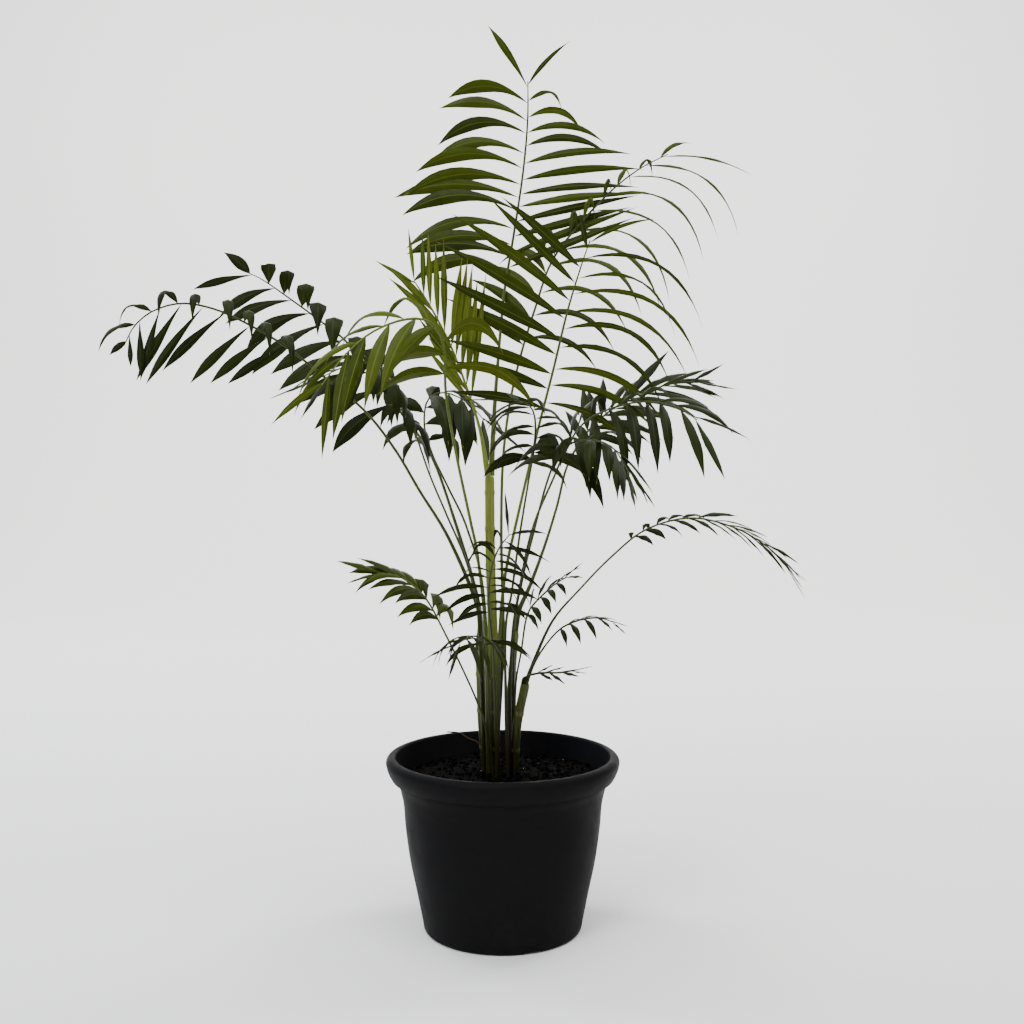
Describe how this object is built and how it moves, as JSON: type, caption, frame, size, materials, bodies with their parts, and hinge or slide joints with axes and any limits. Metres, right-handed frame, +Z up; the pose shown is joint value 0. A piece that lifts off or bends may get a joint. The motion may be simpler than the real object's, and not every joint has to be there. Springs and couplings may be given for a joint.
{
  "type": "potted palm",
  "caption": "Clump-forming feather palm with arching fronds of narrow leaflets, growing in a round dark plastic nursery pot.",
  "frame": {"origin": "on the ground at the middle of the pot's underside", "axes": "+Z up; the picture's viewer stands on the -Y side, so +X is to the right and +Y is away"},
  "size_m": [0.8276, 0.4355, 1.1048],
  "materials": {
    "pot_plastic": "moulded, satin, near black",
    "potting_mix": "crumbly and matt, dark brown",
    "cane_skin": "smooth green cane with pale rings",
    "olive_leaf": "waxy olive green leaf",
    "young_leaf": "waxy yellow green leaf",
    "dark_leaf": "waxy dark green leaf",
    "dry_stalk": "dry, matt, light brown"
  },
  "bodies": {
    "root": {"pot": "pot_plastic", "soil": "potting_mix", "dry_stalk": "dry_stalk", "cane_main": "cane_skin", "cane_left": "cane_skin", "cane_right": "cane_skin", "cane_back": "cane_skin", "frond_tall": "olive_leaf", "frond_right_tall": "olive_leaf", "frond_right_arch": "olive_leaf", "low_frond_left": "olive_leaf", "frond_young": "young_leaf", "frond_front": "young_leaf", "frond_far_left": "dark_leaf", "frond_left_back": "dark_leaf", "frond_mid_left": "dark_leaf", "frond_mid_back": "dark_leaf", "frond_right_back": "dark_leaf", "frond_right_low": "dark_leaf", "frond_right_front": "dark_leaf", "frond_centre_front": "dark_leaf", "low_frond_front": "dark_leaf", "low_frond_centre": "dark_leaf", "low_frond_right": "dark_leaf", "frond_right_long": "dark_leaf", "low_frond_right_arch": "dark_leaf", "low_frond_right_tiny": "dark_leaf"}
  },
  "joints": []
}
